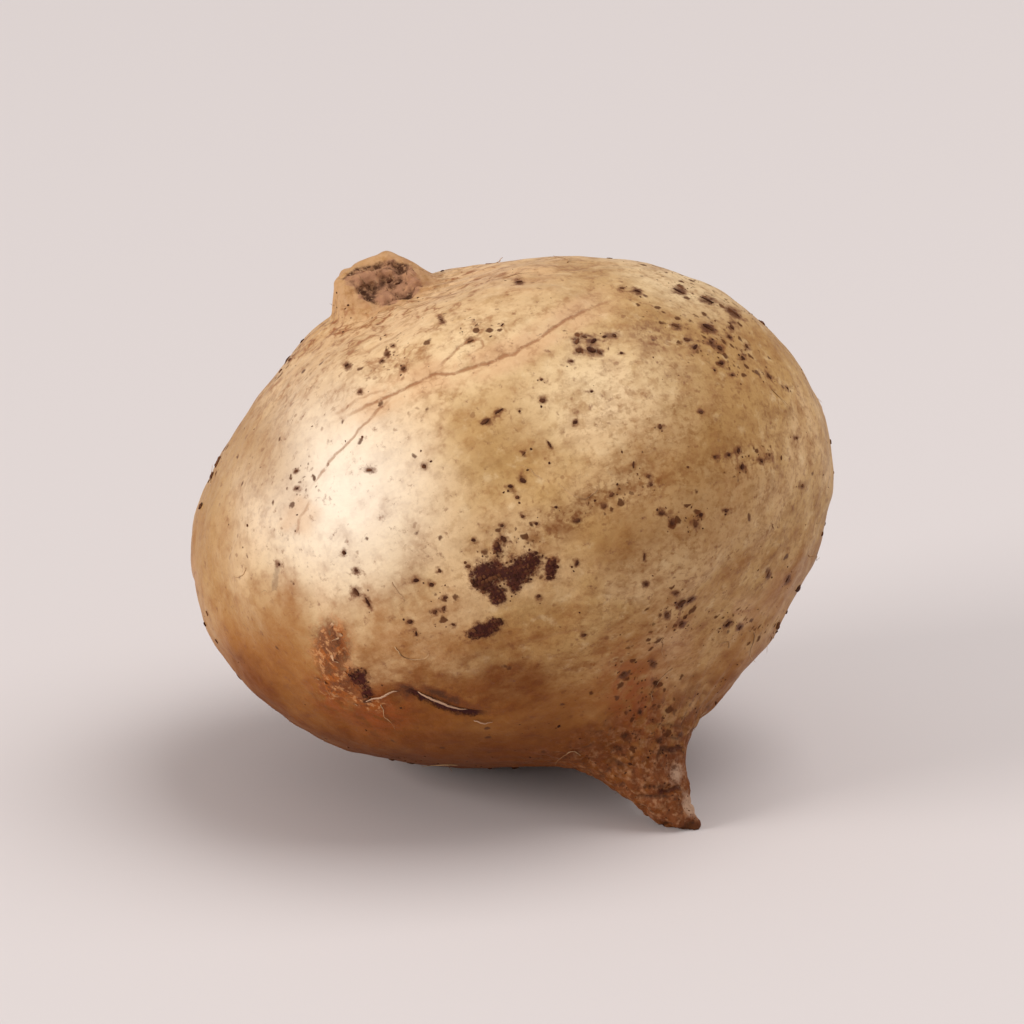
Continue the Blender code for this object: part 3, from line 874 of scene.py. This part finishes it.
    # Fine crackle, mostly on the crown, then pores, dots and crowded flecks
    crackled = most(tree, net(tree, bent, 0.0022, 0.15), net(tree, bent, 0.0050, 0.09))
    crackle_here = plus(tree, crown, 0.30)
    crackle_here = times(tree, crackle_here, step_up(tree, cloudy, 0.36, 0.56))
    crackle_here = times(tree, crackle_here, step_up(tree, middling, 0.42, 0.60))
    crackle_here = times(tree, crackle_here, minus(tree, 1.0, painted_highlight))
    crackled = times(tree, crackled, crackle_here)
    lay(times(tree, crackled, 0.80), ROSE)
    pores = spots(tree, bent, 0.0019, 0.65, 0.26, 0.14)
    lay(times(tree, pores, 0.45), RED_BROWN)
    dots = spots(tree, bent, 0.0036, 0.60, 0.19, 0.10)
    lay(times(tree, dots, 0.85), FLECK_BROWN)
    fleck_share = within(tree, "fleck", 0.95)
    flecks = spots(tree, bent, 0.0017, fleck_share, 0.46, 0.20)
    small_flecks = spots(tree, bent, 0.0009, times(tree, fleck_share, 0.6), 0.45, 0.15)
    flecks = most(tree, flecks, times(tree, small_flecks, 0.7))
    lay(times(tree, flecks, 0.90), FLECK_BROWN)

    # Each speck's stain, red-brown round a darker middle
    speck_edge = frayed(tree, "speck_stain", ragged, 1.3)
    lay(step_up(tree, speck_edge, 1.02, 1.42, 0.60), RED_BROWN)
    lay(step_up(tree, speck_edge, 1.28, 1.60, 0.85), FLECK_BROWN)

    # Creases and wrinkles, the gouge with its painted shade, and the cracks as dark lines of painted shade,
    # along the long crack also the painted shadow of the strip that arches over it
    creases = most(tree, line_of(tree, "crease", middling, 0.40), line_of(tree, "wrinkle", middling, 0.34))
    creases = times(tree, creases, step_up(tree, ragged, 0.28, 0.50, 0.75))
    lay(creases, ROSE)
    # The gouge: painted shade in a hollow, and above the crack's strip
    gouge_and_shade_edge = frayed(tree, "gouge_and_shade", ragged, 1.8)
    lay(step_up(tree, gouge_and_shade_edge, 1.05, 1.60, 0.80), RED_BROWN)
    lay(step_up(tree, gouge_and_shade_edge, 1.55, 1.95, 0.80), SCAR_BROWN_AND_SHADE)
    # Painted shade in the cracks, and the strip's painted shadow below the long crack
    cracks = line_of(tree, "crack", fine, 0.62)
    lay(cracks, SOIL_AND_CRACK_SHADE)

    # The stump, the darker ring at its foot, and the broken face, darker in the hollows of its folds as
    # painted shade
    stump = layer_value(tree, "stump")
    lay(times(tree, stump, 0.70), STUMP_TAN)
    lay(times(tree, stump, step_up(tree, ragged, 0.46, 0.62, 0.5)), DEEP_TAN)
    lay(within(tree, "foot", step_up(tree, ragged, 0.40, 0.62, 0.55)), SCURF_BROWN)
    scarred = step_up(tree, frayed(tree, "scar", ragged, 0.9), 0.72, 1.20)
    # The broken face is painted darker where its folds are hollow: painted shade, mixed with ragged mottling
    hollow = sum_of(tree, (layer_value(tree, "scar_hollow"), 0.7), (ragged, 2.8))
    scar_tone_and_shade = tint(tree, step_up(tree, hollow, 0.75, 2.05), SCAR_TAN, SCAR_BROWN_AND_SHADE)
    scar_tone_and_shade = tint(tree, step_up(tree, fine, 0.48, 0.62, 0.6), scar_tone_and_shade, ROOT_PINK)
    lay(scarred, scar_tone_and_shade)

    # Rubbed places and the tip of the taproot, then the soil of the clods
    lay(step_up(tree, frayed(tree, "rubbed", ragged, 2.0), 1.20, 2.00, 0.80), RUBBED_PINK)
    lay(within(tree, "root_end", 0.45), SCAR_BROWN_AND_SHADE)
    clod_edge = frayed(tree, "clod", ragged, 1.9)
    lay(step_up(tree, clod_edge, 1.05, 1.45, 0.55), RED_BROWN)
    soiled = step_up(tree, clod_edge, 1.28, 1.62, 0.96)
    lay(soiled, tint(tree, step_up(tree, fine, 0.45, 0.65, 0.7), SOIL_AND_CRACK_SHADE, SOIL_RED))
    tree.links.new(colour, shader.inputs["Base Color"])

    # Gloss: dull where there is soil, on the low side's stain and painted shade, or scurf
    dirt = most(tree, soiled, most(tree, flecks, scarred))
    dull = sum_of(tree, (dirt, 0.35), (stained_and_shaded, 0.2), (cloudy, 0.20), (layer_value(tree, "scurf"), 0.08))
    tree.links.new(plus(tree, dull, 0.33), shader.inputs["Roughness"])
    shader.inputs["Specular IOR Level"].default_value = 0.15

    # Relief
    height = sum_of(tree, (fine, 0.08), (streaky, 0.18), (cloudy, 0.22), (creases, -0.12), (cracks, -0.35))
    lifted = most(tree, layer_value(tree, "clod"), layer_value(tree, "scar"))
    lifted = most(tree, lifted, most(tree, layer_value(tree, "graze"), root_foot))
    height = sum_of(tree, (height, 1), (times(tree, lifted, ragged), 0.5))
    bump = add_node(tree, "Bump", {"Height": height, "Distance": 0.001, "Strength": 1.0})["Normal"]
    tree.links.new(bump, shader.inputs["Normal"])
    return material


skin = add_piece("jicama_skin", skin_mesh, skin_material())
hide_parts("jicama")


# The vine was torn off, not cut, so stiff strands of its wood stand out of the broken face of the stump.
# They are dead plant fibre, straw to dark brown, and each grows out of the face that it stands on.
STRANDS = 46
STRAND_RINGS = 7
STRAND_SIDES = 5
STRAND_LENGTH = (0.0005, 0.0015)
STRAND_RADIUS = (0.00007, 0.00016)
STRAND_LEAN = 0.55
STRAND_DARK = (0.150, 0.068, 0.032, 1)
STRAND_PALE = (0.50, 0.30, 0.165, 1)
# The least height over the table of a foot on the skin, and of any point of a thread
LOWEST_FOOT = 0.0015
CLEAR_OF_TABLE = 0.0003

down_step = np.gradient(skin_rows, axis=0)
side_step = np.roll(skin_rows, -1, axis=1) - skin_rows
area_all = np.linalg.norm(np.cross(down_step, side_step), axis=2).ravel()


def scattered(draw, count, likely):
    """Random points of the skin's grid: their numbers, each point as likely as its share of the skin's area
    times the given weight. None is so low that a piece on it would reach into the table."""
    weight = area_all * likely * (skin_rows.reshape(-1, 3)[:, 2] > LOWEST_FOOT)
    return draw.choice(len(weight), count, p=weight / weight.sum())


def tubes(paths, upward, wide, thick, sides):
    """Closed grids round paths (count, rings, 3): at each point an ellipse, of a half width across the path
    and a half thickness towards upward."""
    along = unit(np.gradient(paths, axis=1))
    across = unit(np.cross(along, upward))
    out = np.cross(across, along)
    angle = np.arange(sides) * 2 * math.pi / sides
    sideways = (wide[..., None] * np.cos(angle))[..., None] * across[:, :, None]
    return paths[:, :, None] + sideways + (thick[..., None] * np.sin(angle))[..., None] * out[:, :, None]


def two_tone_material(name, dark, pale, size, roughness):
    """A dull material that changes between two colours over a distance of about one size."""
    material, tree, shader = new_material(name)
    at = add_node(tree, "TexCoord")["Object"]
    mixed = step_up(tree, noise(tree, at, size, 3.0, 0.6), 0.36, 0.64)
    tree.links.new(tint(tree, mixed, dark, pale), shader.inputs["Base Color"])
    shader.inputs["Roughness"].default_value = roughness
    shader.inputs["Specular IOR Level"].default_value = 0.15
    return material


def add_rolled(name, grids, *finish):
    """A piece of closed grids in two tones: the dark one, the pale one, their size and the roughness."""
    add_piece(name, rolled_mesh(name, grids), two_tone_material(name, *finish))


def stump_strands():
    """Tapered strands that point away from the tuber's middle and lean to random sides."""
    draw = np.random.RandomState(51)
    foot = scattered(draw, STRANDS, (scar > 0.6) * 1.0)
    out = unit(np.array(POSE) @ STEM + STRAND_LEAN * draw.normal(size=(STRANDS, 3)))
    length = draw.uniform(*STRAND_LENGTH, STRANDS)[:, None, None]
    share = np.linspace(0, 1, STRAND_RINGS)[None, :, None]
    bend = 0.25 * draw.normal(size=(STRANDS, 1, 3)) * share**2
    paths = skin_rows.reshape(-1, 3)[foot][:, None] + length * ((share - 0.3) * out[:, None] + bend)
    radius = draw.uniform(*STRAND_RADIUS, STRANDS)[:, None] * (1 - 0.75 * share[..., 0])
    sideways = np.broadcast_to(unit(draw.normal(size=(STRANDS, 1, 3))), paths.shape)
    return tubes(paths, sideways, radius, radius, STRAND_SIDES)


add_rolled("stump_strands", stump_strands(), STRAND_DARK, STRAND_PALE, 0.0011, 0.8)


# Hair rootlets still cling round the taproot and on the lower half of the tuber: dry threads thinner than
# half a millimetre that grow out of the skin, lie along it, and lift off it at their ends.
ROOTLETS = 42
ROOTLET_RINGS = 18
ROOTLET_SIDES = 6
ROOTLET_LENGTH = (0.0030, 0.0090)
ROOTLET_RADIUS = (0.00005, 0.00011)
ROOTLET_SUNK = 0.0003
ROOTLET_SWAY = 0.30
ROOTLET_LIFT = (0.0001, 0.0016)
ROOTLET_DARK = (0.220, 0.105, 0.045, 1)
ROOTLET_PALE = (0.58, 0.37, 0.20, 1)

row_gap = np.linalg.norm(down_step, axis=2)
side_gap = np.linalg.norm(side_step, axis=2)


def on_skin(row, side):
    """Points and outward normals of the skin at any places between the rows and sides of its grid."""
    row = np.clip(row, 1, SKIN_RINGS - 1.001)
    low_row, low_side = np.floor(row).astype(int), np.floor(side).astype(int)
    down_share, round_share = (row - low_row)[..., None], (side - low_side)[..., None]
    here, beside = low_side % SKIN_SIDES, (low_side + 1) % SKIN_SIDES
    both = []
    for grid in (skin_rows, skin_normals):
        upper = grid[low_row, here] * (1 - round_share) + grid[low_row, beside] * round_share
        lower = grid[low_row + 1, here] * (1 - round_share) + grid[low_row + 1, beside] * round_share
        both.append(upper * (1 - down_share) + lower * down_share)
    return both[0], unit(both[1])


def paths_over_skin(draw, start, length, rings, sway):
    """Paths from points of the grid that go over the skin in even steps with a wandering heading."""
    row, side = (start // SKIN_SIDES).astype(float), (start % SKIN_SIDES).astype(float)
    heading = draw.uniform(0, 2 * math.pi, len(start))
    rows, sides = [row], [side]
    for _ in range(rings - 1):
        heading = heading + sway * draw.normal(size=len(start))
        near_row, near_side = np.clip(row, 1, SKIN_RINGS - 2).astype(int), side.astype(int) % SKIN_SIDES
        step = length / (rings - 1)
        row = np.clip(row + step * np.cos(heading) / row_gap[near_row, near_side], 2, SKIN_RINGS - 4)
        side = side + step * np.sin(heading) / side_gap[near_row, near_side]
        rows.append(row)
        sides.append(side)
    return on_skin(np.stack(rows, axis=1), np.stack(sides, axis=1))


def rootlet_tubes():
    """Threads over the skin that taper to their ends, which rise as the cube of the way along."""
    draw = np.random.RandomState(52)
    likely = 0.02 + 2.2 * fall(np.abs(root_share - 0.16), 0.04, 0.16) + 0.12 * hidden
    start = scattered(draw, ROOTLETS, likely * (crack_shown < 0.1))
    length = draw.uniform(*ROOTLET_LENGTH, ROOTLETS)
    paths, normals = paths_over_skin(draw, start, length, ROOTLET_RINGS, ROOTLET_SWAY)
    share = np.linspace(0, 1, ROOTLET_RINGS)[None]
    radius = draw.uniform(*ROOTLET_RADIUS, ROOTLETS)[:, None] * (1 - 0.7 * share)
    lift = draw.uniform(*ROOTLET_LIFT, ROOTLETS)[:, None] * share**3 + radius * 0.7
    lift -= ROOTLET_SUNK * (share == 0)
    paths = paths + normals * lift[..., None]
    paths[..., 2] = np.maximum(paths[..., 2], node_low[2] + CLEAR_OF_TABLE)
    return tubes(paths, normals, radius, radius, ROOTLET_SIDES)


add_rolled("rootlets", rootlet_tubes(), ROOTLET_DARK, ROOTLET_PALE, 0.0040, 0.7)


# Where the skin is grazed and cracked, shreds of its papery outer layer peel off: pale curling strips under
# a tenth of a millimetre thick, still joined to the skin at one end. Longer and thicker strips lie along
# the crack, arched off it.
SHREDS = 12
SHRED_RINGS = 9
SHRED_SIDES = 8
SHRED_LENGTH = (0.0006, 0.0015)
SHRED_HALF_WIDTH = (0.00015, 0.00040)
SHRED_HALF_THICKNESS = 0.00004
SHRED_LIFT = (0.0002, 0.0011)
SHRED_CLEAR = 0.00002
SHRED_RUSTY = (0.30, 0.100, 0.030, 1)
SHRED_PALE = (0.56, 0.34, 0.19, 1)
STRIP_PALE = (0.47, 0.290, 0.185, 1)
# The crack's long strips: points seen from the front, in millimetres, and a half width in metres
CRACK_STRIPS = (
    ((-16.0, -30.4), (-14.2, -31.1), (-12.2, -31.8), (-10.0, -32.6), (-7.4, -33.3), 0.00028),
    ((-24.6, -31.9), (-23.4, -31.0), (-22.0, -30.8), (-20.6, -30.1), (-19.2, -30.1), 0.00020),
    ((-6.5, -34.8), (-5.6, -35.0), (-4.6, -35.2), (-3.2, -35.2), 0.00014),
)
STRIP_RINGS = 22
STRIP_ARCH = 0.00045
STRIP_CLEAR = 0.00010
STRIP_THICKNESS = 0.45


def from_front(right, up):
    """The skin's points and normals that are seen at these places from the front: weighted means of the
    nearest eight points of the grid."""
    facing = np.where(seen[:, 2] > 0)[0]
    off = np.linalg.norm(seen[facing][None, :, :2] - np.stack([right, up], axis=1)[:, None], axis=2)
    near = np.argpartition(off, 8, axis=1)[:, :8]
    weight = 1 / (np.take_along_axis(off, near, axis=1) ** 2 + 0.1**2)
    weight /= weight.sum(axis=1, keepdims=True)
    chosen = facing[near]
    points = (skin_rows.reshape(-1, 3)[chosen] * weight[..., None]).sum(axis=1)
    return points, unit((skin_normals.reshape(-1, 3)[chosen] * weight[..., None]).sum(axis=1))


def shred_tubes():
    """Short strips over the skin, flat ellipses in section, that rise as the square of the way along."""
    draw = np.random.RandomState(53)
    likely = 1.0 * (graze > 0.4) + 0.3 * (crack_shown > 0.3) * (np.abs(crack) < 1.2) * (root_share < 0.3)
    start = scattered(draw, SHREDS, likely)
    length = draw.uniform(*SHRED_LENGTH, SHREDS)
    paths, normals = paths_over_skin(draw, start, length, SHRED_RINGS, 0.12)
    share = np.linspace(0, 1, SHRED_RINGS)[None]
    lift = draw.uniform(*SHRED_LIFT, SHREDS)[:, None] * share**2 + SHRED_CLEAR
    paths = paths + normals * lift[..., None]
    paths[..., 2] = np.maximum(paths[..., 2], node_low[2] + CLEAR_OF_TABLE)
    wide = draw.uniform(*SHRED_HALF_WIDTH, SHREDS)[:, None] * (1 - 0.7 * share**2)
    return tubes(paths, normals, wide, np.full_like(wide, SHRED_HALF_THICKNESS), SHRED_SIDES)


def strip_tubes():
    """The crack's strips, through their points: arched off the skin as a half sine, thinner to the ends."""
    share = np.linspace(0, 1, STRIP_RINGS)
    paths, normals, wides = [], [], []
    for *corners, half_width in CRACK_STRIPS:
        at_corners = np.linspace(0, 1, len(corners))
        right, up = (np.interp(share, at_corners, place) for place in zip(*corners))
        points, out = from_front(right, up)
        arch = STRIP_ARCH * np.sin(math.pi * share) + STRIP_CLEAR
        paths.append(points + out * arch[:, None])
        normals.append(out)
        wides.append(half_width * (0.25 + 0.75 * np.sin(math.pi * share) ** 0.6))
    wides = np.array(wides)
    return tubes(np.array(paths), np.array(normals), wides, wides * STRIP_THICKNESS, SHRED_SIDES)


add_rolled("peeling_skin", shred_tubes(), SHRED_RUSTY, SHRED_PALE, 0.0022, 0.6)
add_rolled("crack_strips", strip_tubes(), STRIP_PALE, STRIP_PALE, 0.0022, 0.55)


# Dried soil is left on the skin in grains, crumbs and specks, thickest in the clods on the front, round the
# foot of the stump and on the taproot. Each is a flat uneven lump, sunk in by about a third.
GRAINS = 1400
GRAIN_RADIUS = (0.00008, 0.00024)
CRUMBS = 130
CRUMB_RADIUS = (0.00022, 0.00050)
SPECKS_ELSEWHERE = 260
SPECK_RADIUS = (0.00022, 0.00095)
# A front speck's half length and half width in millimetres are divided by these for its lump, in metres,
# and the lump's half thickness is this part of the half width
SPECK_LONG_OVER = 1450
SPECK_SHORT_OVER = 1600
SPECK_THICKNESS = 0.24
SPECK_DUST = 1.3
LUMP_RINGS = 7
LUMP_SIDES = 8
SOIL_DARK = (0.046, 0.012, 0.005, 1)
SOIL_PALE = (0.130, 0.047, 0.018, 1)


def soil_lumps(draw, points, normals, ways, long, short, thick):
    """Lumps on the skin: small spheres whose radius is changed by a few random cosines, stretched to a half
    length along a way over the skin, a half width across it and a half thickness."""
    down, turn = np.meshgrid(
        np.linspace(0, math.pi, LUMP_RINGS), np.arange(LUMP_SIDES) * 2 * math.pi / LUMP_SIDES, indexing="ij"
    )
    ball = np.stack([np.sin(down) * np.cos(turn), np.sin(down) * np.sin(turn), np.cos(down)], axis=-1)
    waves = 2.6 * draw.normal(size=(len(points), 3, 3))
    phase = draw.uniform(0, 2 * math.pi, (len(points), 1, 1, 3))
    bumps = 1 + 0.14 * np.cos(np.einsum("ijk,nlk->nijl", ball, waves) + phase).sum(axis=-1)
    shape = ball[None] * bumps[..., None]
    along = unit(ways - (ways * normals).sum(axis=1, keepdims=True) * normals)
    across = np.cross(normals, along)
    frames = np.stack([along * long[:, None], across * short[:, None], normals * thick[:, None]], axis=1)
    raised = points + normals * thick[:, None] * 0.4
    return np.einsum("nijk,nkl->nijl", shape, frames) + raised[:, None, None]


def random_lumps(seed, count, radii, likely):
    """Lumps at random places, turned at random, with more small ones than large."""
    draw = np.random.RandomState(seed)
    at = scattered(draw, count, likely)
    radius = np.exp(draw.uniform(*np.log(radii), count))
    short, thick = radius * draw.uniform(0.5, 0.95, count), radius * draw.uniform(0.15, 0.38, count)
    points, normals = skin_rows.reshape(-1, 3)[at], skin_normals.reshape(-1, 3)[at]
    return soil_lumps(draw, points, normals, draw.normal(size=(count, 3)), radius, short, thick)


def front_specks():
    """The specks listed above, each laid along its tilt."""
    right, up, long, short, tilt = np.array(SPECKS).T
    points, normals = from_front(right, up)
    tilt = np.radians(tilt)[:, None]
    ways = np.cos(tilt) * RIGHT + np.sin(tilt) * UPWARD
    draw = np.random.RandomState(56)
    long, short, thick = long / SPECK_LONG_OVER, short / SPECK_SHORT_OVER, short / 1000 * SPECK_THICKNESS
    return soil_lumps(draw, points, normals, ways, long, short, thick)


in_clod = fall(1 - clod, 0.50, 0.15)
near_speck = np.max([marked(right, up, SPECK_DUST, SPECK_DUST) for right, up, *_ in SPECKS], axis=0)
on_flank = fall(np.abs(stump_away - 0.0085), 0.0, 0.003)
grain_weight = 0.0015 + 1.6 * in_clod + 0.10 * fleck**2 + 0.10 * on_root + 0.05 * on_flank + 0.05 * near_speck
grains = random_lumps(54, GRAINS, GRAIN_RADIUS, grain_weight)
crumbs = random_lumps(55, CRUMBS, CRUMB_RADIUS, 0.0004 + in_clod + 0.01 * on_root)
specks_elsewhere = random_lumps(57, SPECKS_ELSEWHERE, SPECK_RADIUS, (0.05 + fleck**2) * (seen[:, 2] < 8))
soil = np.concatenate([grains, crumbs, specks_elsewhere, front_specks()])
add_rolled("soil_grains", soil, SOIL_DARK, SOIL_PALE, 0.0024, 0.85)


# The table is a plain pale top. The light is a large soft lamp at the left, little higher than the tuber,
# with a wide one overhead.
FLOOR_COLOUR = (0.66, 0.610, 0.604, 1)
AIR_COLOUR = (0.78, 0.745, 0.735, 1)
AIR_STRENGTH = 0.55
CAMERA_LENS = 600.0


def table_top():
    """A flat square far larger than what the camera sees of it."""
    floor_mesh = bpy.data.meshes.new("floor")
    half = 6.0
    corners = [(-half, -half, 0), (half, -half, 0), (half, half, 0), (-half, half, 0)]
    floor_mesh.from_pydata(corners, [], [(0, 1, 2, 3)])
    material, tree, shader = new_material("floor")
    shader.inputs["Base Color"].default_value = FLOOR_COLOUR
    shader.inputs["Roughness"].default_value = 0.75
    shader.inputs["Specular IOR Level"].default_value = 0.2
    floor_mesh.materials.append(material)
    floor = bpy.data.objects.new("floor", floor_mesh)
    bpy.context.scene.collection.objects.link(floor)


def lamp(name, place, size, power, colour):
    """A square area lamp that shines at the tuber's middle."""
    light = bpy.data.lights.new(name, "AREA")
    light.size = size
    light.energy = power
    light.color = colour
    lamp_object = bpy.data.objects.new(name, light)
    lamp_object.location = place
    lamp_object.rotation_euler = (Vector(middle) - Vector(place)).to_track_quat("-Z", "Y").to_euler()
    bpy.context.scene.collection.objects.link(lamp_object)


table_top()
lamp("key", (-1.98, -0.95, 0.78), 1.05, 37.8, (1.0, 0.975, 0.945))
lamp("top", (0.90, 0.10, 2.05), 1.70, 34.0, (1.0, 0.985, 0.97))

world = bpy.data.worlds.new("air")
world.use_nodes = True
world.node_tree.nodes["Background"].inputs["Color"].default_value = AIR_COLOUR
world.node_tree.nodes["Background"].inputs["Strength"].default_value = AIR_STRENGTH
bpy.context.scene.world = world
bpy.context.scene.view_settings.view_transform = "Standard"

camera_data = bpy.data.cameras.new("camera")
camera_data.lens = CAMERA_LENS
camera = bpy.data.objects.new("camera", camera_data)
target = Vector((node_low + node_high) / 2)
camera.location = target + Vector(TOWARD) * CAMERA_DISTANCE
camera.rotation_euler = (target - camera.location).to_track_quat("-Z", "Y").to_euler()
bpy.context.scene.collection.objects.link(camera)
bpy.context.scene.camera = camera
